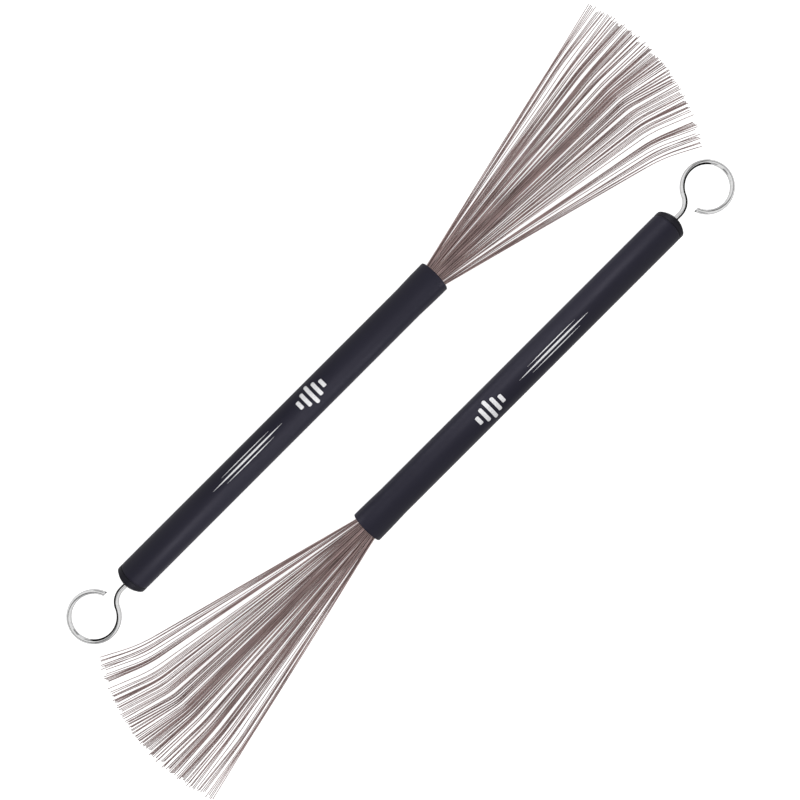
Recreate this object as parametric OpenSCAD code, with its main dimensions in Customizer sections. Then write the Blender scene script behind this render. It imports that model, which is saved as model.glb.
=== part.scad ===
// A pair of retractable wire brushes for drums, lying head to tail.
// Each brush is a grip tube with a sliding rod: the ring at the back
// pulls a fan of spring wires into the tube.
// Units are millimetres. X runs along the handles, Z is up.

/* [Pair] */
// Distance from the centre of the pair to each handle axis
axis_offset = 25.95; // [24:0.05:40]
// How far each mouth stands ahead of the centre of the pair
mouth_ahead = 45.3; // [40:0.1:60]

/* [Handle] */
// Outside diameter of the rubber grip
grip_d = 13.7; // [13.6:0.1:16]
// How much thicker the rubber gets at the mouth, on each side
mouth_flare = 0.3; // [0.1:0.05:0.5]
// Length of the rubber grip, from the mouth to the end cap
grip_len = 169.5; // [165:0.5:190]
// Wall of the rubber grip
grip_wall = 0.95; // [0.7:0.05:0.95]
// Wall of the metal tube
tube_wall = 0.5; // [0.4:0.1:0.5]
// Rubber that wraps over the front edge of the tube
grip_lip = 0.8; // [0.5:0.1:1.2]

/* [End cap] */
// Straight rim of the cap behind the grip
cap_rim = 2.1; // [1.5:0.1:3]
// Height of the domed back of the cap
cap_dome = 2.75; // [2.5:0.05:4.5]
// Depth of the cap's plug inside the tube
cap_plug = 11.5; // [8:0.5:11.5]

/* [Pull rod] */
// Diameter of the rod and of its ring
rod_d = 2.05; // [1.9:0.05:2.2]
// Radius of the ring, to the middle of the wire
ring_r = 10.05; // [9:0.05:11]
// Distance from the back of the cap to the centre of the ring
ring_back = 18.45; // [17.5:0.05:21]
// Radius of the bend in the neck of the ring
neck_r = 7; // [2:0.5:7.5]
// Angle of the open end of the ring, from the handle axis
ring_open = 18.5; // [15:0.5:30]
// How far the rod pulls out
travel = 126; // [60:1:126]

/* [Fan] */
// Diameter of one wire
wire_d = 0.34; // [0.3:0.01:0.34]
// Wires side by side in one layer of the bundle
wire_columns = 16; // [8:1:16]
// Layers of wires in the bundle
wire_layers = 6; // [2:1:6]
// Distance from the mouth to the bend of the middle wire
bend_at = 103; // [95:1:105]
// Length of the middle wire beyond its bend
tip_len = 20.8; // [15:0.1:22]
// How far the bends of the outer wires lie to the left of the axis
left_spread = 26.4; // [20:0.1:26.4]
// How far the bends of the outer wires lie to the right of the axis
right_spread = 31.0; // [20:0.1:31]
// How far the fan droops at the bend
droop = 1.4; // [0:0.1:2]
// How far the middle tip rises again
tip_rise = 2.6; // [0:0.1:3]

/* [Hidden] */
$fn = 96;

// Along the axis of one brush: 0 is the mouth, and minus is towards the ring.
grip_r = grip_d / 2;
mouth_r = grip_r + mouth_flare;
tube_or = grip_r - grip_wall;
bore_r = tube_or - tube_wall;
tube_front = -grip_lip;
cap_face = -grip_len;
cap_back = cap_face - cap_rim - cap_dome;
plug_front = cap_face + cap_plug;
dome_r = (grip_r * grip_r + cap_dome * cap_dome) / (2 * cap_dome);

// The stop ring, slider, collar and ferrule near the mouth.
run = 0.05;                 // running clearance
stop_back = -21;
stop_len = 3;
slider_len = 9;
slider_back = stop_back - slider_len;
collar_len = 1.1;
collar_front = slider_back - 2 * run;
ferrule_back = stop_back + 2 * run;
ferrule_front = -9;
pocket_back = -16.5;
ferrule_r = bore_r - 1.2;
ferrule_lip = 0.9;
slider_r = bore_r - run;

// The bush and the grommet in the end cap.
bush_r = 2.1;
bush_back = cap_back + 2;
grommet_len = 2.2;
grommet_r = 3;
bush_front = plug_front - grommet_len - 0.6;

// The neck and the ring: a short bend one way, then the round the other way.
ring_u = cap_back - ring_back;
neck_u = ring_u + sqrt(ring_r * ring_r + 2 * ring_r * neck_r);
neck_a = atan2(neck_r, neck_u - ring_u);

// Turns a profile drawn as [radius, distance along the axis] about the brush's axis.
module turned() rotate([0, 90, 0]) rotate_extrude() children();

// A plain tube or disc along the axis, from u0 to u1.
module sleeve(u0, u1, ro, ri) turned() translate([ri, u0]) square([ro - ri, u1 - u0]);

module brush_a() translate([mouth_ahead, axis_offset, mouth_r]) children();
module brush_b() rotate([0, 0, 180]) translate([mouth_ahead, axis_offset, mouth_r]) children();

module handle_tube() color("silver") sleeve(cap_face, tube_front, tube_or, bore_r);

// Rubber grip with eased edges, thicker at the mouth and wrapped over the front of the tube.
module grip_sleeve() color([0.14, 0.14, 0.18]) turned() {
    ease = 0.3;
    polygon([[tube_or, cap_face], [grip_r - 0.15, cap_face], [grip_r, cap_face + 0.25],
             [grip_r, -15], [mouth_r - 0.08, -8], [mouth_r, -3],
             [mouth_r, -ease], [mouth_r - ease, 0], [bore_r + 0.15, 0], [bore_r, -0.15],
             [bore_r, tube_front], [tube_or, tube_front]]);
}

// Domed cap with a plug that presses into the tube.
module end_cap() color([0.08, 0.08, 0.1]) difference() {
    union() {
        intersection() {
            translate([cap_back + dome_r, 0, 0]) sphere(dome_r);
            sleeve(cap_back - 1, cap_face, grip_r, 0);
        }
        sleeve(cap_face - 1, plug_front, bore_r, 0);
    }
    sleeve(cap_back - 1, plug_front + 1, rod_d / 2 + 0.2, 0);
    sleeve(bush_back, plug_front + 1, bush_r, 0);
    sleeve(bush_front, plug_front - 0.6, grommet_r, 0);
}

module rod_bush() color("gold") sleeve(bush_back, bush_front, bush_r, rod_d / 2 + run);

// Rubber friction ring round the rod, seated in the cap's plug.
module rod_grommet() color([0.2, 0.2, 0.2]) turned() difference() {
    translate([rod_d / 2 + 0.02, bush_front]) square([grommet_r - rod_d / 2 - 0.02, grommet_len]);
    translate([rod_d / 2 - 0.2, bush_front - 0.01]) square([0.6, 0.5]);
    translate([rod_d / 2 - 0.2, bush_front + grommet_len - 0.49]) square([0.6, 0.5]);
}

module stop_ring() color("silver") sleeve(stop_back, stop_back + stop_len, bore_r, bore_r - 0.9);

// Slider that guides the rod down the tube, with two shallow grooves.
module slider() color([0.85, 0.85, 0.8]) turned() difference() {
    translate([rod_d / 2 + run, slider_back]) square([slider_r - rod_d / 2 - run, slider_len]);
    for (u = [slider_back + 2.4, slider_back + 5.4])
        translate([slider_r - 0.5, u]) square([1, 1.2]);
}

module rod_collar() color("silver") sleeve(collar_front - collar_len, collar_front, 3.4, rod_d / 2);

// Straight rod, the bend of the neck, and the ring with its open end.
module pull_rod() color([0.8, 0.8, 0.82]) union() {
    sleeve(neck_u, pocket_back, rod_d / 2, 0);
    translate([neck_u, -neck_r, 0]) rotate([0, 0, 90])
        rotate_extrude(angle = 90 - neck_a) translate([neck_r, 0]) circle(rod_d / 2);
    translate([ring_u, 0, 0]) rotate([0, 0, ring_open])
        rotate_extrude(angle = 360 - ring_open - neck_a) translate([ring_r, 0]) circle(rod_d / 2);
    // The wire swells by a hair where one bend passes into the other.
    translate([ring_u, 0, 0]) rotate([0, 0, -neck_a]) translate([ring_r, 0, 0]) sphere(rod_d / 2 + 0.015);
}

// Crimped ferrule: a bore for the rod behind, an oval pocket for the wires in front.
module wire_ferrule() color("gold") difference() {
    union() {
        sleeve(ferrule_back, ferrule_front, ferrule_r - 0.25, 0);
        sleeve(ferrule_back, ferrule_back + 1.2, ferrule_r, 0);
        sleeve(ferrule_front - 1.2, ferrule_front, ferrule_r, 0);
    }
    sleeve(ferrule_back - 1, pocket_back, rod_d / 2, 0);
    translate([pocket_back, 0, 0]) rotate([90, 0, 90]) linear_extrude(10) {
        square([pocket_w - pocket_h, pocket_h], center = true);
        for (s = [-1, 1]) translate([s * (pocket_w - pocket_h) / 2, 0]) circle(pocket_h / 2);
    }
}
pack_half = 2.85;            // half width of the wires in the ferrule, to their centres
pack_shift = 0.15;
pocket_h = 3.2;
pocket_w = 7.4;

// One wire is placed by s, from -1 at the right of the fan to 1 at the left.
wires = wire_columns * wire_layers;
layer_gap = 2.2 / (wire_layers - 1);
function part_of(column, layer) = -1 + 2 * (column * wire_layers + layer) / (wires - 1);
// Wires lie closer together in the middle of the fan.
function spread(s) = s * (0.75 + 0.25 * abs(s));
function through(t, left, middle, right) =
    middle + (left - right) / 2 * t + ((left + right) / 2 - middle) * t * t;
function layer_w(s, layer) = (layer - (wire_layers - 1) / 2) * layer_gap * (1 - 0.2 * s * s);
function seat(s, layer, u) = [u, pack_half * s + pack_shift, layer_w(s, layer)];
function bend(s, layer) = let (t = spread(s)) [
    through(t, bend_at - 6.6, bend_at, bend_at - 4.5),
    through(t, left_spread, -1.7, -right_spread),
    layer_w(s, layer) * 1.3 - droop];
function tip(s, layer) = let (t = spread(s)) [
    through(t, bend_at + tip_len * 0.84, bend_at + tip_len, bend_at + tip_len * 0.42),
    through(t, left_spread + 5.3, -5.3, -right_spread - 7.3),
    layer_w(s, layer) * 1.5 - droop + tip_rise * (1 + 0.4 * t)];
function path(s, layer) = [
    seat(s, layer, pocket_back + 0.1), seat(s, layer, ferrule_front), bend(s, layer), tip(s, layer)];

function unit(v) = v / norm(v);
// Direction of the wire at point i of its path.
function heading(p, i) =
    i == 0 ? unit(p[1] - p[0]) :
    i == len(p) - 1 ? unit(p[i] - p[i - 1]) :
    unit(unit(p[i] - p[i - 1]) + unit(p[i + 1] - p[i]));
sides = 6;
function wire_ring(p, i) = let (d = heading(p, i), e = unit(cross([0, 0, 1], d)), f = cross(d, e))
    [for (k = [0:sides - 1]) p[i] + wire_d / 2 * (cos(360 * k / sides) * e + sin(360 * k / sides) * f)];

// All the wires of one fan: separate closed wires in one group.
module fan_wires() color([0.5, 0.45, 0.44]) {
    rings = 4;
    points = [for (c = [0:wire_columns - 1]) for (l = [0:wire_layers - 1])
        let (s = part_of(c, l), p = path(s, l)) for (i = [0:rings - 1]) each wire_ring(p, i)];
    faces = [for (w = [0:wires - 1]) let (o = w * rings * sides) each concat(
        [for (i = [0:rings - 2]) for (k = [0:sides - 1]) let (a = o + i * sides + k, b = o + i * sides + (k + 1) % sides)
            [a, a + sides, b + sides, b]],
        [[for (k = [0:sides - 1]) o + k]],
        [[for (k = [sides - 1:-1:0]) o + (rings - 1) * sides + k]])];
    polyhedron(points, faces, convexity = 8);
}

brush_a() handle_tube();  // handle_tube_a
brush_a() grip_sleeve();  // grip_sleeve_a
brush_a() end_cap();  // end_cap_a
brush_a() rod_bush();  // rod_bush_a
brush_a() rod_grommet();  // rod_grommet_a
brush_a() stop_ring();  // stop_ring_a
brush_a() slider();  // slider_a
brush_a() rod_collar();  // rod_collar_a
brush_a() pull_rod();  // pull_rod_a
brush_a() wire_ferrule();  // wire_ferrule_a
brush_a() fan_wires();  // fan_wires_a
brush_b() handle_tube();  // handle_tube_b
brush_b() grip_sleeve();  // grip_sleeve_b
brush_b() end_cap();  // end_cap_b
brush_b() rod_bush();  // rod_bush_b
brush_b() rod_grommet();  // rod_grommet_b
brush_b() stop_ring();  // stop_ring_b
brush_b() slider();  // slider_b
brush_b() rod_collar();  // rod_collar_b
brush_b() pull_rod();  // pull_rod_b
brush_b() wire_ferrule();  // wire_ferrule_b
brush_b() fan_wires();  // fan_wires_b
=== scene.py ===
import math
import random

import bpy
import numpy as np
from mathutils import Matrix, Vector


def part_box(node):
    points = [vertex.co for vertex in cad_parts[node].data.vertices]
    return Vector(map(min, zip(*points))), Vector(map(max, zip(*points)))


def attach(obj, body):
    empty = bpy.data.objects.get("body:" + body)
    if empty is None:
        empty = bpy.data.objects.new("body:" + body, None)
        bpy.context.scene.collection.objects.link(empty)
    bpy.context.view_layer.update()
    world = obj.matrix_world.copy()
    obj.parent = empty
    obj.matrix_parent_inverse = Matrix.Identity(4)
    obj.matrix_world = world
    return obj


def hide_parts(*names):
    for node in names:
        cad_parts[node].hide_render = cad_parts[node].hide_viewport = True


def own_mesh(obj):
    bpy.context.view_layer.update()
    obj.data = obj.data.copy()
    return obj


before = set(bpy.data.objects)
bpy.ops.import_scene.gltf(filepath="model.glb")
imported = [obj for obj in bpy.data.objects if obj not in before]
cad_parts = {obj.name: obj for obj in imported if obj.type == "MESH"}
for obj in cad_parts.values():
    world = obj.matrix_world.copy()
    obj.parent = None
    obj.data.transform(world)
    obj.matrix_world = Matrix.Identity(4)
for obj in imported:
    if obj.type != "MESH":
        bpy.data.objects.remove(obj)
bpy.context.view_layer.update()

scene = bpy.context.scene
MM = 0.001


# ---------------------------------------------------------------- the frame
class Brush:
    """One brush: u runs along its axis from the mouth (0) towards the tips, v is left of it, w is up. All in mm."""

    def __init__(self, side):
        self.side = side
        lo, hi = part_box("grip_sleeve_" + side)
        self.sign = 1 if side == "a" else -1
        self.mouth = Vector((hi.x if self.sign > 0 else lo.x, (lo.y + hi.y) / 2, (lo.z + hi.z) / 2))
        self.mouth_r = (hi.z - lo.z) / 2 / MM
        self.back = -(hi.x - lo.x) / MM
        cap_lo, cap_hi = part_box("end_cap_" + side)
        self.grip_r = (cap_hi.z - cap_lo.z) / 2 / MM
        self.handle, self.carrier, self.rod = "handle_" + side, "carrier_" + side, "rod_" + side

    def place(self, p):
        u, v, w = p
        return self.mouth + Vector((self.sign * u, self.sign * v, w)) * MM

    def u_span(self, node):
        lo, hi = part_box(node + "_" + self.side)
        ends = [self.sign * (x - self.mouth.x) / MM for x in (lo.x, hi.x)]
        return min(ends), max(ends)


BRUSHES = [Brush("a"), Brush("b")]


# ---------------------------------------------------------------- mesh helpers
def add_object(name, verts, faces, smooth=True, material=None):
    mesh = bpy.data.meshes.new(name)
    mesh.from_pydata([tuple(v) for v in verts], [], faces)
    mesh.validate()
    mesh.update()
    if smooth:
        mesh.polygons.foreach_set("use_smooth", [True] * len(mesh.polygons))
    obj = bpy.data.objects.new(name, mesh)
    scene.collection.objects.link(obj)
    if material:
        mesh.materials.append(material)
    return obj


def outward(obj):
    """Turns the faces so that they look out of the closed shape."""
    import bmesh
    bm = bmesh.new()
    bm.from_mesh(obj.data)
    bmesh.ops.recalc_face_normals(bm, faces=bm.faces)
    if bm.calc_volume(signed=True) < 0:
        bmesh.ops.reverse_faces(bm, faces=bm.faces)
    bm.to_mesh(obj.data)
    bm.free()
    return obj


def rounded(profile, n=6):
    """A closed profile of (u, r, fillet) corners, with each corner rounded by its fillet."""
    out = []
    count = len(profile)
    for i in range(count):
        p0, p1, p2 = (np.array(profile[(i + k) % count][:2], float) for k in (-1, 0, 1))
        f = profile[i][2]
        if f <= 0:
            out.append(tuple(p1))
            continue
        a, b = p0 - p1, p2 - p1
        la, lb = np.linalg.norm(a), np.linalg.norm(b)
        a, b = a / la, b / lb
        half = math.acos(max(-1, min(1, float(a @ b)))) / 2
        if half > math.pi / 2 - 1e-3:
            out.append(tuple(p1))
            continue
        t = min(f / math.tan(half), la * 0.49, lb * 0.49)
        r = t * math.tan(half)
        c = p1 + (a + b) / np.linalg.norm(a + b) * (r / math.sin(half))
        s, e = p1 + a * t - c, p1 + b * t - c
        a0 = math.atan2(s[1], s[0])
        da = (math.atan2(e[1], e[0]) - a0 + math.pi) % (2 * math.pi) - math.pi
        for k in range(n + 1):
            ang = a0 + da * k / n
            out.append((c[0] + r * math.cos(ang), c[1] + r * math.sin(ang)))
    return out


def lathe(name, brush, profile, segments=128, closed=True, wobble=None):
    """Turns (u, r) points about the brush's axis. A closed profile makes a ring; an open one starts and ends on the axis."""
    verts, faces = [], []
    n = len(profile)
    if closed:
        for j in range(segments):
            a = 2 * math.pi * j / segments
            for u, r in profile:
                if wobble:
                    r = r + wobble(u, a, r)
                verts.append(brush.place((u, r * math.cos(a), r * math.sin(a))))
        for j in range(segments):
            k = (j + 1) % segments
            for i in range(n):
                m = (i + 1) % n
                faces.append((j * n + i, j * n + m, k * n + m, k * n + i))
    else:
        first = len(verts)
        verts.append(brush.place((profile[0][0], 0, 0)))
        body = profile[1:-1]
        n = len(body)
        for j in range(segments):
            a = 2 * math.pi * j / segments
            for u, r in body:
                if wobble:
                    r = r + wobble(u, a, r)
                verts.append(brush.place((u, r * math.cos(a), r * math.sin(a))))
        last = len(verts)
        verts.append(brush.place((profile[-1][0], 0, 0)))
        for j in range(segments):
            k = (j + 1) % segments
            faces.append((first, 1 + j * n, 1 + k * n))
            for i in range(n - 1):
                faces.append((1 + j * n + i, 1 + j * n + i + 1, 1 + k * n + i + 1, 1 + k * n + i))
            faces.append((last, 1 + k * n + n - 1, 1 + j * n + n - 1))
    return outward(add_object(name, verts, faces))


def tube_rings(points, radius, sides, up=(0, 0, 1), squeeze=None):
    """Rings of points around a path, one to a point, carried along it without twist."""
    pts = [Vector(p) for p in points]
    rings = []
    n = len(pts)
    heads = []
    for i in range(n):
        if i == 0:
            d = pts[1] - pts[0]
        elif i == n - 1:
            d = pts[-1] - pts[-2]
        else:
            d = (pts[i] - pts[i - 1]).normalized() + (pts[i + 1] - pts[i]).normalized()
        heads.append(d.normalized())
    e = Vector(up).cross(heads[0]).normalized()
    for i in range(n):
        d = heads[i]
        e = (e - d * e.dot(d)).normalized()
        f = d.cross(e)
        r = radius(i) if callable(radius) else radius
        rings.append([pts[i] + (e * math.cos(2 * math.pi * k / sides) + f * math.sin(2 * math.pi * k / sides)) * r for k in range(sides)])
    return rings


def add_tube(verts, faces, rings):
    """A closed tube, with a flat cap on each end, added to a mesh's lists."""
    base = len(verts)
    sides = len(rings[0])
    for ring in rings:
        verts.extend(ring)
    for i in range(len(rings) - 1):
        for k in range(sides):
            a, b = base + i * sides + k, base + i * sides + (k + 1) % sides
            faces.append((a, b, b + sides, a + sides))
    faces.append(tuple(base + k for k in reversed(range(sides))))
    faces.append(tuple(base + (len(rings) - 1) * sides + k for k in range(sides)))


# ---------------------------------------------------------------- materials
def material(name):
    m = bpy.data.materials.new(name)
    m.use_nodes = True
    nt = m.node_tree
    bsdf = next(n for n in nt.nodes if n.type == "BSDF_PRINCIPLED")
    return m, nt, bsdf


def node(nt, kind, **values):
    n = nt.nodes.new(kind)
    for key, value in values.items():
        if key in n.inputs:
            n.inputs[key].default_value = value
        else:
            setattr(n, key, value)
    return n


def link(nt, a, b):
    nt.links.new(a, b)


def ramp(nt, fac, stops):
    n = nt.nodes.new("ShaderNodeValToRGB")
    els = n.color_ramp.elements
    while len(els) < len(stops):
        els.new(0.5)
    for e, (pos, col) in zip(els, stops):
        e.position = pos
        e.color = (*col, 1) if len(col) == 3 else col
    link(nt, fac, n.inputs[0])
    return n.outputs[0]


def noise(nt, scale, detail=3.0, rough=0.5, stretch=(1, 1, 1), offset=(0, 0, 0)):
    co = nt.nodes.new("ShaderNodeTexCoord")
    mp = nt.nodes.new("ShaderNodeMapping")
    mp.inputs["Scale"].default_value = stretch
    mp.inputs["Location"].default_value = offset
    link(nt, co.outputs["Object"], mp.inputs["Vector"])
    n = nt.nodes.new("ShaderNodeTexNoise")
    n.inputs["Scale"].default_value = scale
    n.inputs["Detail"].default_value = detail
    n.inputs["Roughness"].default_value = rough
    link(nt, mp.outputs[0], n.inputs["Vector"])
    return n.outputs["Fac"]


def to_range(nt, value, lo, hi, from_lo=0.3, from_hi=0.7):
    n = nt.nodes.new("ShaderNodeMapRange")
    n.inputs["From Min"].default_value = from_lo
    n.inputs["From Max"].default_value = from_hi
    n.inputs["To Min"].default_value = lo
    n.inputs["To Max"].default_value = hi
    link(nt, value, n.inputs["Value"])
    return n.outputs[0]


def bump(nt, bsdf, height, strength, distance, after=None):
    b = nt.nodes.new("ShaderNodeBump")
    b.inputs["Strength"].default_value = strength
    b.inputs["Distance"].default_value = distance
    link(nt, height, b.inputs["Height"])
    if after is not None:
        link(nt, after, b.inputs["Normal"])
    link(nt, b.outputs[0], bsdf.inputs["Normal"])
    return b.outputs[0]


def grip_rubber():
    m, nt, s = material("grip_rubber")
    cloud = noise(nt, 60, 4, 0.6, (0.25, 1, 1))
    link(nt, ramp(nt, cloud, [(0.25, (0.0055, 0.0054, 0.0125)), (0.75, (0.0085, 0.0084, 0.0170))]), s.inputs["Base Color"])
    grain = noise(nt, 5200, 3, 0.65)
    smear = noise(nt, 240, 4, 0.6, (0.12, 1, 1), (3, 1, 2))
    link(nt, to_range(nt, smear, 0.4, 0.54), s.inputs["Roughness"])
    b = bump(nt, s, grain, 0.25, 0.00002)
    bump(nt, s, noise(nt, 900, 2, 0.5), 0.08, 0.00004, b)
    s.inputs["Specular IOR Level"].default_value = 0.26
    s.inputs["Specular Tint"].default_value = (0.90, 0.86, 1.0, 1)
    return m


def cap_plastic():
    m, nt, s = material("cap_plastic")
    cloud = noise(nt, 300, 3, 0.6)
    link(nt, ramp(nt, cloud, [(0.3, (0.006, 0.006, 0.009)), (0.7, (0.010, 0.010, 0.014))]), s.inputs["Base Color"])
    scuff = noise(nt, 1400, 4, 0.7, (0.4, 1, 1))
    link(nt, to_range(nt, scuff, 0.34, 0.5), s.inputs["Roughness"])
    bump(nt, s, noise(nt, 3500, 2, 0.5), 0.06, 0.00001)
    s.inputs["Specular IOR Level"].default_value = 0.16
    s.inputs["Specular Tint"].default_value = (0.90, 0.86, 1.0, 1)
    return m


def metal(name, dark, light, rough, cloud_scale=400, stretch=(1, 1, 1), draw=(0.02, 1, 1), draw_scale=6000, bump_strength=0.05, metallic=1.0):
    m, nt, s = material(name)
    cloud = noise(nt, cloud_scale, 4, 0.6, stretch)
    link(nt, ramp(nt, cloud, [(0.3, dark), (0.7, light)]), s.inputs["Base Color"])
    lines = noise(nt, draw_scale, 3, 0.6, draw)
    link(nt, to_range(nt, lines, *rough), s.inputs["Roughness"])
    bump(nt, s, lines, bump_strength, 0.00001)
    s.inputs["Metallic"].default_value = metallic
    return m


def slider_plastic():
    m, nt, s = material("slider_plastic")
    cloud = noise(nt, 250, 3, 0.5)
    link(nt, ramp(nt, cloud, [(0.3, (0.70, 0.68, 0.60)), (0.7, (0.80, 0.78, 0.71))]), s.inputs["Base Color"])
    link(nt, to_range(nt, noise(nt, 2500, 3, 0.6), 0.38, 0.55), s.inputs["Roughness"])
    s.inputs["Subsurface Weight"].default_value = 0.1
    s.inputs["Subsurface Scale"].default_value = 0.001
    bump(nt, s, noise(nt, 3000, 3, 0.5), 0.08, 0.00002)
    return m


def seal_rubber():
    m, nt, s = material("seal_rubber")
    link(nt, ramp(nt, noise(nt, 500, 3, 0.5), [(0.3, (0.010, 0.010, 0.010)), (0.7, (0.022, 0.022, 0.022))]), s.inputs["Base Color"])
    link(nt, to_range(nt, noise(nt, 2500, 3, 0.6), 0.5, 0.7), s.inputs["Roughness"])
    bump(nt, s, noise(nt, 3800, 3, 0.6), 0.2, 0.00002)
    return m


def print_ink():
    m, nt, s = material("print_ink")
    worn = noise(nt, 2600, 5, 0.7)
    link(nt, ramp(nt, worn, [(0.3, (0.50, 0.50, 0.52)), (0.6, (0.78, 0.78, 0.79))]), s.inputs["Base Color"])
    link(nt, to_range(nt, worn, 0.45, 0.6), s.inputs["Roughness"])
    bump(nt, s, worn, 0.1, 0.00001)
    return m


GRIP = grip_rubber()
CAP = cap_plastic()
CHROME = metal("rod_plating", (0.74, 0.74, 0.745), (0.83, 0.83, 0.83), (0.05, 0.10), 900, (1, 1, 1), (0.3, 1, 1), 5000, 0.03)
WIRE = metal("wire_steel", (0.34, 0.252, 0.245), (0.52, 0.390, 0.378), (0.30, 0.46), 260, (0.3, 1, 1), (0.02, 1, 1), 9000, 0.05)
TUBE = metal("tube_metal", (0.66, 0.66, 0.67), (0.76, 0.76, 0.77), (0.2, 0.34))
BRASS = metal("brass", (0.62, 0.44, 0.17), (0.74, 0.56, 0.26), (0.2, 0.35))
ZINC = metal("collar_steel", (0.50, 0.50, 0.51), (0.62, 0.62, 0.63), (0.25, 0.4))
NYLON = slider_plastic()
SEAL = seal_rubber()
INK = print_ink()
BY_NODE = {"handle_tube": TUBE, "grip_sleeve": GRIP, "end_cap": CAP, "rod_bush": BRASS, "rod_grommet": SEAL, "stop_ring": TUBE,
           "slider": NYLON, "rod_collar": ZINC, "pull_rod": CHROME, "wire_ferrule": BRASS, "fan_wires": WIRE}
for name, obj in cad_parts.items():
    mat = BY_NODE[name.rsplit("_", 1)[0]]
    obj.data.materials.clear()
    obj.data.materials.append(mat)


def finish_piece(obj, brush, body, slot, *nodes):
    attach(obj, body)
    if nodes:
        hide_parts(*nodes)
    return obj


# ---------------------------------------------------------------- the handle
def grip(brush):
    """Rubber sleeve: rounded lip wrapped over the tube at the mouth, and a thin pinched edge at the cap."""
    t_lo, t_hi = brush.u_span("handle_tube")
    lo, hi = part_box("handle_tube_" + brush.side)
    tube_r = (hi.z - lo.z) / 2 / MM
    bore = tube_r - 0.5
    R, M, back = brush.grip_r, brush.mouth_r, brush.back
    profile = rounded([
        (back, tube_r, 0), (back, R - 0.1, 0.16), (back + 0.55, R, 0.5), (back + 0.9, R, 0.2),
        (back / 2, R, 0), (-15, R, 3), (-8, M - 0.08, 3), (-3, M, 1.5), (-0.28, M, 0.25), (0, M - 0.4, 0.3),
        (0, bore + 0.2, 0.2), (-0.3, bore, 0.2), (t_hi, bore, 0), (t_hi, tube_r, 0)])
    # More rings along the straight part, so that the surface can breathe by a few hundredths of a millimetre.
    fine = []
    for i, (u, r) in enumerate(profile):
        fine.append((u, r))
        nu, nr = profile[(i + 1) % len(profile)]
        steps = int(abs(nu - u) / 2.5)
        for k in range(1, steps):
            fine.append((u + (nu - u) * k / steps, r + (nr - r) * k / steps))
    rng = random.Random(11 if brush.side == "a" else 12)
    waves = [(rng.uniform(0.02, 0.11), rng.randint(1, 3), rng.uniform(0, 6.28)) for _ in range(6)]

    def wobble(u, a, r):
        if r < R - 0.2 or u > -2 or u < back + 1:
            return 0
        return -0.004 - 0.004 * sum(math.sin(f * u + n * a + p) for f, n, p in waves) / 3

    obj = lathe("grip_" + brush.side, brush, fine, 160, wobble=wobble)
    obj.data.materials.append(GRIP)
    return finish_piece(obj, brush, brush.handle, "grip_rubber", "grip_sleeve_" + brush.side)


def cap(brush):
    """Domed end cap with a rounded shoulder, a parting step where the rubber meets it, and a countersunk hole for the rod."""
    lo, hi = brush.u_span("end_cap")
    R, back = brush.grip_r, brush.back
    bore = R - 1.45
    rim = 2.1
    dome = (back - rim) - lo
    sphere = (R * R + dome * dome) / (2 * dome)
    centre = lo + sphere
    hole = 1.225
    bush_back, bush_r = lo + 2, 2.1
    plug_front = hi
    gro_back, gro_front, gro_r = plug_front - 2.8, plug_front - 0.6, 3.0
    a_start, a_end = math.asin((R - 0.7) / sphere), math.asin((hole + 0.25) / sphere)
    domed = [(centre - sphere * math.cos(a), sphere * math.sin(a)) for a in np.linspace(a_start, a_end, 20)]
    shoulder = rounded([(back - 0.02, bore, 0), (back - 0.02, R - 0.22, 0.06), (back - 0.2, R - 0.2, 0.05), (back - 0.3, R - 0.03, 0.1),
                        (back - 0.55, R, 0.2), (back - rim, R, 0.42), (*domed[0], 0)])[1:-1]
    inner = [(lo + 0.12, hole + 0.08), (lo + 0.3, hole), (bush_back, hole), (bush_back, bush_r), (gro_back, bush_r),
             (gro_back, gro_r), (gro_front, gro_r), (gro_front, bush_r), (plug_front, bush_r)]
    plug = [(plug_front, bore - 0.25), (plug_front - 0.3, bore), (back - 0.02, bore)]
    profile = shoulder + domed + inner + plug
    obj = lathe("cap_" + brush.side, brush, profile, 128)
    obj.data.materials.append(CAP)
    return finish_piece(obj, brush, brush.handle, "cap_plastic", "end_cap_" + brush.side)


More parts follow.
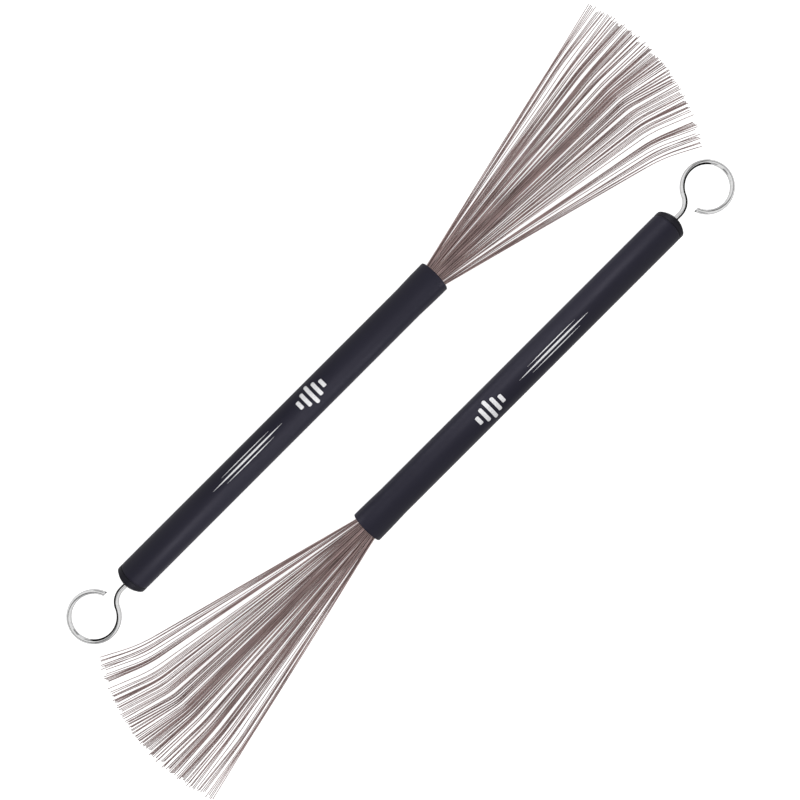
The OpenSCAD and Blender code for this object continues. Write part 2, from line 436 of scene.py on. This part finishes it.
# ---------------------------------------------------------------- the rod and its ring
def rod(brush):
    """The pull rod: straight, then a tight neck, then the open ring, swept as one wire with eased ends."""
    lo, hi = brush.u_span("pull_rod")
    nlo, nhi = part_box("pull_rod_" + brush.side)
    r = (nhi.z - nlo.z) / 2 / MM
    r = min(r, 1.025)
    ring = 10.05
    ring_u = lo + ring + r
    neck = 7.0
    neck_u = ring_u + math.sqrt(ring * ring + 2 * ring * neck)
    neck_a = math.atan2(neck, neck_u - ring_u)
    opening = math.radians(18.5)
    path = []
    straight = hi - neck_u
    n = 120
    for i in range(n):
        path.append((hi - straight * i / n, 0, 0))
    turn = math.pi / 2 - neck_a
    for i in range(41):
        a = math.pi / 2 + turn * i / 40
        path.append((neck_u + neck * math.cos(a), -neck + neck * math.sin(a), 0))
    span = 2 * math.pi - opening - neck_a
    for i in range(1, 181):
        a = -neck_a - span * i / 180
        path.append((ring_u + ring * math.cos(a), ring * math.sin(a), 0))
    world = [brush.place(p) for p in path]
    # Ease both cut ends with two small rings.
    def ends(pts):
        a, b = (pts[0] - pts[1]).normalized(), (pts[-1] - pts[-2]).normalized()
        e = 0.16 * MM
        return ([pts[0], pts[0] - a * e * 0.25, pts[0] - a * e] + pts[1:-1] + [pts[-1] - b * e, pts[-1] - b * e * 0.25, pts[-1]],
                [r - 0.16, r - 0.06, r] + [r] * (len(pts) - 2) + [r, r - 0.06, r - 0.16])
    pts, radii = ends(world)
    rings = tube_rings(pts, lambda i: radii[i] * MM, 32)
    # The ring's end was cut at a slant: its outer side is longer.
    centre, along = brush.place((ring_u, 0, 0)), (pts[-1] - pts[-4]).normalized()
    fade = 9
    for k in range(fade):
        weight = ((fade - k) / fade) ** 2
        rings[-1 - k] = [p + along * (0.42 * weight * ((p - centre).xy.length - ring * MM)) for p in rings[-1 - k]]
    verts, faces = [], []
    add_tube(verts, faces, rings)
    obj = outward(add_object("rod_" + brush.side, verts, faces, material=CHROME))
    return finish_piece(obj, brush, brush.rod, "rod_plating", "pull_rod_" + brush.side)


# ---------------------------------------------------------------- the wires
def through(t, left, middle, right):
    return middle + (left - right) / 2 * t + ((left + right) / 2 - middle) * t * t


# The wires lie in bands with clear gaps between them. A band has its two edges at the bend, its two edges at the
# tips (1 is the left of the fan, -1 the right) and how many wires are in it. The middle ones are packed closely
# before the bend and splay after it.
BANDS = [
    (1.050, 1.000, 1.040, 0.955, 5), (0.985, 0.915, 0.930, 0.855, 5), (0.872, 0.871, 0.846, 0.845, 1),
    (0.830, 0.725, 0.825, 0.700, 8), (0.710, 0.620, 0.690, 0.595, 9),
    (0.575, 0.465, 0.585, 0.455, 11), (0.437, 0.375, 0.440, 0.365, 7), (0.325, 0.285, 0.340, 0.290, 4),
    (0.262, 0.190, 0.283, 0.190, 9), (0.172, -0.012, 0.180, -0.045, 20), (-0.036, -0.125, -0.055, -0.195, 10),
    (-0.142, -0.200, -0.190, -0.245, 5), (-0.235, -0.350, -0.255, -0.370, 8), (-0.370, -0.450, -0.380, -0.450, 4),
    (-0.457, -0.500, -0.456, -0.520, 5), (-0.515, -0.600, -0.530, -0.615, 5), (-0.650, -0.651, -0.660, -0.661, 1), (-0.715, -0.800, -0.715, -0.815, 8),
    (-0.840, -0.841, -0.845, -0.846, 1), (-0.880, -0.940, -0.875, -0.940, 5), (-0.955, -1.015, -0.955, -1.025, 4)]


def fan(brush):
    """About 130 round wires: straight out of the ferrule and the mouth, then bent near the tips, where they splay."""
    start, front = -16.3, brush.u_span("wire_ferrule")[1]
    bend_mid, tip_len, droop = 103.0, 20.8, 1.4
    rng = random.Random(5)
    r = 0.162
    wires = []
    for b_hi, b_lo, t_hi, t_lo, count in BANDS:
        for i in range(count):
            k, step = (i + 0.5) / count, 1 / count
            at_bend = k + rng.uniform(-0.40, 0.40) * step
            at_tip = k + rng.uniform(-0.24, 0.24) * step
            wires.append((b_hi + (b_lo - b_hi) * at_bend, t_hi + (t_lo - t_hi) * at_tip))
    wires.sort(reverse=True)
    total = len(wires)
    # In the ferrule the order is a little mixed, so that wires cross in front of the mouth.
    order = sorted(range(total), key=lambda i: -wires[i][0] + rng.gauss(0, 0.07))
    place_in_ferrule = {wire: k for k, wire in enumerate(order)}
    rows = 8
    verts, faces = [], []
    for i, (t, tt) in enumerate(wires):
        # Packed rows in the ferrule: neighbours in the fan sit in different rows.
        rank = place_in_ferrule[i]
        row = (rank * 5) % rows
        s = 1 - 2 * (rank + 0.5) / total
        layer = row / (rows - 1) - 0.5
        w0 = layer * 2.4 * math.sqrt(max(0.2, 1 - 0.75 * s * s))
        v0 = 3.0 * s + 0.1
        ub = through(t, 96.4, bend_mid, 98.5) + rng.gauss(0, 0.3)
        vb = through(t, 26.4, -1.7, -31.0)
        wb = layer * 2.6 - droop + rng.gauss(0, 0.15)
        cut = rng.gauss(0, 0.28)
        ut = through(tt, 119.2, bend_mid + tip_len - 0.3, 111.9) + cut
        vt = through(tt, 31.6, -5.3, -38.3) + rng.gauss(0, 0.1)
        wt = layer * 2.8 - droop + 2.6 + 1.0 * t + rng.gauss(0, 0.2)
        P0, P1 = np.array((start, v0, w0)), np.array((front, v0, w0))
        PB, PT = np.array((ub, vb, wb)), np.array((ut, vt, wt))
        d1 = (PB - P1) / np.linalg.norm(PB - P1)
        d2 = (PT - PB) / np.linalg.norm(PT - PB)
        pts = [P0, P0 + (P1 - P0) * 0.5, P1 - np.array((0.8, 0, 0)), P1 + d1 * 0.8]
        bow_v, bow_w, wave = rng.gauss(0, 0.16), rng.gauss(0, 0.2), rng.uniform(1.5, 5)
        for k in np.linspace(0.06, 0.93, 13):
            sway = math.sin(math.pi * k)
            pts.append(P1 + (PB - P1) * k + np.array((0, bow_v * sway * math.sin(wave * k + i), bow_w * sway)))
        # The bend is a soft one, softest at the sides of the fan.
        ease = 2.6 + 4.4 * abs(t) + rng.uniform(-0.5, 0.5)
        A, C = PB - d1 * ease, PB + d2 * ease
        for k in np.linspace(0, 1, 8):
            pts.append(A * (1 - k) ** 2 + PB * 2 * k * (1 - k) + C * k * k)
        for k in (0.3, 0.65, 1.0):
            pts.append(C + (PT - C) * k)
        rings = tube_rings([brush.place(p) for p in pts], r * MM, 8)
        add_tube(verts, faces, rings)
    obj = outward_tubes(add_object("fan_" + brush.side, verts, faces, material=WIRE))
    finish_piece(obj, brush, brush.rod, "wire_steel", "fan_wires_" + brush.side)
    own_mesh(obj)
    return obj


def outward_tubes(obj):
    import bmesh
    bm = bmesh.new()
    bm.from_mesh(obj.data)
    bmesh.ops.recalc_face_normals(bm, faces=bm.faces)
    bm.to_mesh(obj.data)
    bm.free()
    return obj


def print_marks(brush):
    """Plain white print on the grip: five tapered bars, and three pinstripes behind them."""
    R = brush.grip_r
    verts, faces = [], []

    def bar(sections, across=8):
        base = len(verts)
        n, m = len(sections), across + 1
        for radius in (R + 0.022, R - 0.05):
            for u, lo, hi in sections:
                for j in range(m):
                    a = (lo + (hi - lo) * j / across) / R
                    verts.append(brush.place((u, radius * math.sin(a), radius * math.cos(a))))
        low = base + n * m
        for i in range(n - 1):
            for j in range(across):
                q = (i * m + j, i * m + j + 1, (i + 1) * m + j + 1, (i + 1) * m + j)
                faces.append(tuple(base + k for k in q))
                faces.append(tuple(low + k for k in reversed(q)))
            for j in (0, across):
                faces.append((base + i * m + j, base + (i + 1) * m + j, low + (i + 1) * m + j, low + i * m + j))
        for i in (0, n - 1):
            for j in range(across):
                faces.append((base + i * m + j, base + i * m + j + 1, low + i * m + j + 1, low + i * m + j))

    def lens(u0, u1, s0, half, n=24, power=2.2):
        out = []
        for k in range(n + 1):
            x = -1 + 2 * k / n
            h = max(0.03, half * (1 - abs(x) ** power))
            out.append((u0 + (u1 - u0) * k / n, s0 - h, s0 + h))
        return out

    # Bars across the grip, longest in the middle.
    for k, length in enumerate((3.6, 6.6, 9.4, 6.6, 3.6)):
        u = -68 + (k - 2) * 3.1
        n = 8
        bar([(u - 0.85 + 1.7 * i / n, 1.0 - length / 2 * (1 - 0.12 * abs(2 * i / n - 1) ** 3),
              1.0 + length / 2 * (1 - 0.12 * abs(2 * i / n - 1) ** 3)) for i in range(n + 1)], across=14)
    bar(lens(-122, -84, 1.0, 0.42, 30), 4)
    bar(lens(-116, -90, 2.6, 0.2, 24), 4)
    bar(lens(-116, -90, -0.6, 0.2, 24), 4)
    obj = outward(add_object("print_" + brush.side, verts, faces, material=INK))
    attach(obj, brush.handle)
    return obj


HANDLES = {}
for brush in BRUSHES:
    pieces = [grip(brush), cap(brush), print_marks(brush)]
    rod(brush)
    fan(brush)
    HANDLES[brush.side] = bpy.data.collections.new("handle_" + brush.side)
    for piece in pieces:
        HANDLES[brush.side].objects.link(piece)


# ---------------------------------------------------------------- floor, light, camera
def seen_only(obj):
    """The white surroundings are seen, but don't light the object: the world does that."""
    obj.visible_diffuse = False
    obj.visible_glossy = False
    obj.visible_transmission = False
    return obj


def floor():
    size, z = 3.0, -0.00002
    mesh = bpy.data.meshes.new("floor")
    mesh.from_pydata([(-size, -size, z), (size, -size, z), (size, size, z), (-size, size, z)], [], [(0, 1, 2, 3)])
    obj = bpy.data.objects.new("floor", mesh)
    scene.collection.objects.link(obj)
    m, nt, s = material("paper")
    link(nt, ramp(nt, noise(nt, 40, 3, 0.5), [(0.3, (0.80, 0.80, 0.80)), (0.7, (0.82, 0.82, 0.82))]), s.inputs["Base Color"])
    s.inputs["Roughness"].default_value = 0.9
    s.inputs["Specular IOR Level"].default_value = 0.0
    s.inputs["Emission Color"].default_value = (1, 1, 1, 1)
    s.inputs["Emission Strength"].default_value = 0.75
    mesh.materials.append(m)
    return seen_only(obj)


def backdrop():
    """A wide white dome, so that the horizon is white in every view."""
    import bmesh
    mesh = bpy.data.meshes.new("backdrop")
    bm = bmesh.new()
    bmesh.ops.create_uvsphere(bm, u_segments=48, v_segments=24, radius=4.0)
    bmesh.ops.reverse_faces(bm, faces=bm.faces)
    bm.to_mesh(mesh)
    bm.free()
    obj = bpy.data.objects.new("backdrop", mesh)
    scene.collection.objects.link(obj)
    m, nt, s = material("backdrop")
    s.inputs["Base Color"].default_value = (0, 0, 0, 1)
    s.inputs["Specular IOR Level"].default_value = 0.0
    s.inputs["Emission Color"].default_value = (1, 1, 1, 1)
    s.inputs["Emission Strength"].default_value = 1.0
    mesh.materials.append(m)
    obj.visible_shadow = False
    return seen_only(obj)


def softbox(name, side, loc, target, size, energy):
    """A soft light for one brush's handle, mirrored by a half turn for brush b."""
    sign = 1 if side == "a" else -1
    data = bpy.data.lights.new(name, "AREA")
    data.shape = "RECTANGLE"
    data.size, data.size_y = size
    data.energy = energy
    obj = bpy.data.objects.new(name, data)
    scene.collection.objects.link(obj)
    loc, target = Vector((loc[0] * sign, loc[1] * sign, loc[2])), Vector((target[0] * sign, target[1] * sign, target[2]))
    obj.location = loc
    obj.rotation_euler = (target - loc).to_track_quat("-Z", "Y").to_euler()
    obj.visible_camera = False
    obj.light_linking.receiver_collection = HANDLES[side]
    return obj


floor()
backdrop()
for side in "ab":
    # A soft box beyond the ring, and a low one beside the mouth.
    softbox("softbox_" + side, side, (-0.37, -0.36, 0.66), (-0.10, 0.026, 0), (0.5, 0.5), 3.2)
    softbox("sidelight_" + side, side, (0.13, -0.55, 0.16), (0.02, 0.026, 0), (0.35, 0.25), 1.6)

# The room: white all round, a little brighter overhead than below.
world = bpy.data.worlds.new("studio")
scene.world = world
world.use_nodes = True
nt = world.node_tree
bg = next(n for n in nt.nodes if n.type == "BACKGROUND")
bg.inputs["Color"].default_value = (1, 1, 1, 1)
direction = nt.nodes.new("ShaderNodeTexCoord").outputs["Generated"]


def lobe(axis, start, end):
    dot = nt.nodes.new("ShaderNodeVectorMath")
    dot.operation = "DOT_PRODUCT"
    link(nt, direction, dot.inputs[0])
    dot.inputs[1].default_value = Vector(axis).normalized()
    n = nt.nodes.new("ShaderNodeMapRange")
    n.interpolation_type = "SMOOTHSTEP"
    n.inputs["From Min"].default_value = start
    n.inputs["From Max"].default_value = end
    link(nt, dot.outputs["Value"], n.inputs["Value"])
    return n.outputs[0]


def maths(operation, a, b):
    n = nt.nodes.new("ShaderNodeMath")
    n.operation = operation
    for socket, value in zip(n.inputs, (a, b)):
        if isinstance(value, (int, float)):
            socket.default_value = value
        else:
            link(nt, value, socket)
    return n.outputs[0]


level = maths("ADD", maths("MULTIPLY", lobe((0, 0, 1), -0.3, 0.3), 0.20), 0.72)
link(nt, level, bg.inputs["Strength"])


RING_U = -192.8  # centre of the pull ring


def arc(radius, start, end, n=24):
    """Points of a card curved round the pull ring. Angles in degrees, 0 from the ring to the mouth."""
    steps = [math.radians(start + (end - start) * i / n) for i in range(n + 1)]
    return [(RING_U + radius * math.cos(a), radius * math.sin(a)) for a in steps]


def flag(name, side, points, bottom, top, tone, one_sided=False):
    """An upright dark card along points (u, v) in mm, which the polished ring reflects.

    A one-sided card is seen only from the right of its line, so it can stand close to the wire, where there is only
    shade: there it paints a dark reflection on the polished wire.
    """
    brush = BRUSHES["ab".index(side)]
    verts, faces = [], []
    for u, v in points:
        foot = brush.place((u, v, 0))
        verts += [(foot.x, foot.y, bottom), (foot.x, foot.y, top)]
    for i in range(len(points) - 1):
        faces.append((2 * i, 2 * i + 1, 2 * i + 3, 2 * i + 2))
    mesh = bpy.data.meshes.new(name)
    mesh.from_pydata(verts, [], faces)
    obj = bpy.data.objects.new(name, mesh)
    scene.collection.objects.link(obj)
    m, nt, s = material(name)
    s.inputs["Base Color"].default_value = (0, 0, 0, 1)
    s.inputs["Specular IOR Level"].default_value = 0.0
    s.inputs["Emission Color"].default_value = (1, 1, 1, 1)
    s.inputs["Emission Strength"].default_value = tone
    if one_sided:
        clear, mix, seen = (nt.nodes.new(k) for k in ("ShaderNodeBsdfTransparent", "ShaderNodeMixShader", "ShaderNodeNewGeometry"))
        output = next(node for node in nt.nodes if node.type == "OUTPUT_MATERIAL")
        nt.links.new(seen.outputs["Backfacing"], mix.inputs[0])
        nt.links.new(s.outputs[0], mix.inputs[1])
        nt.links.new(clear.outputs[0], mix.inputs[2])
        nt.links.new(mix.outputs[0], output.inputs["Surface"])
    mesh.materials.append(m)
    obj.visible_camera = False
    return obj


for side in "ab":
    # The one-sided cards inside the ring and in the crook of its neck are painted dark reflections: black sheets where
    # there is only the ring's own shade.
    spoke = [(RING_U + r * math.cos(math.radians(210)), r * math.sin(math.radians(210))) for r in (0.5, 6.9)]
    flag("ring_painted_reflection_card_" + side, side, spoke, 0.001, 0.042, 0.01, one_sided=True)
    flag("neck_painted_reflection_card_" + side, side, [(RING_U + a, b) for a, b in ((17.0, 5.6), (11.6, 4.6), (8.4, 1.6), (7.2, -3.4))], 0.003, 0.016, 0.02, one_sided=True)
    flag("top_flag_" + side, side, arc(150, 152, 202), 0.15, 0.36, 0.12)
    flag("grey_flag_" + side, side, arc(160, 38, 66), 0.02, 0.22, 0.42)
    flag("low_flag_" + side, side, arc(160, 200, 236), 0.03, 0.60, 0.45)

# The photograph's view: straight down from about 300 mm, turned so that the handles lie along the diagonal.
cam_data = bpy.data.cameras.new("camera")
cam = bpy.data.objects.new("camera", cam_data)
scene.collection.objects.link(cam)
right, up = Vector((1, -1, 0)).normalized(), Vector((1, 1, 0)).normalized()
height = 0.300
axis_z = BRUSHES[0].mouth.z
centre = right * (-0.277 * MM) + up * (0.717 * MM)
cam.matrix_world = Matrix((
    (right.x, up.x, 0, centre.x),
    (right.y, up.y, 0, centre.y),
    (0, 0, 1, axis_z + height),
    (0, 0, 0, 1)))
cam_data.sensor_width = 36
cam_data.lens = 36 * height / 0.320
cam_data.clip_start = 0.02
cam_data.clip_end = 20
scene.camera = cam
scene.view_settings.view_transform = "Standard"
scene.view_settings.look = "None"

bpy.context.view_layer.update()
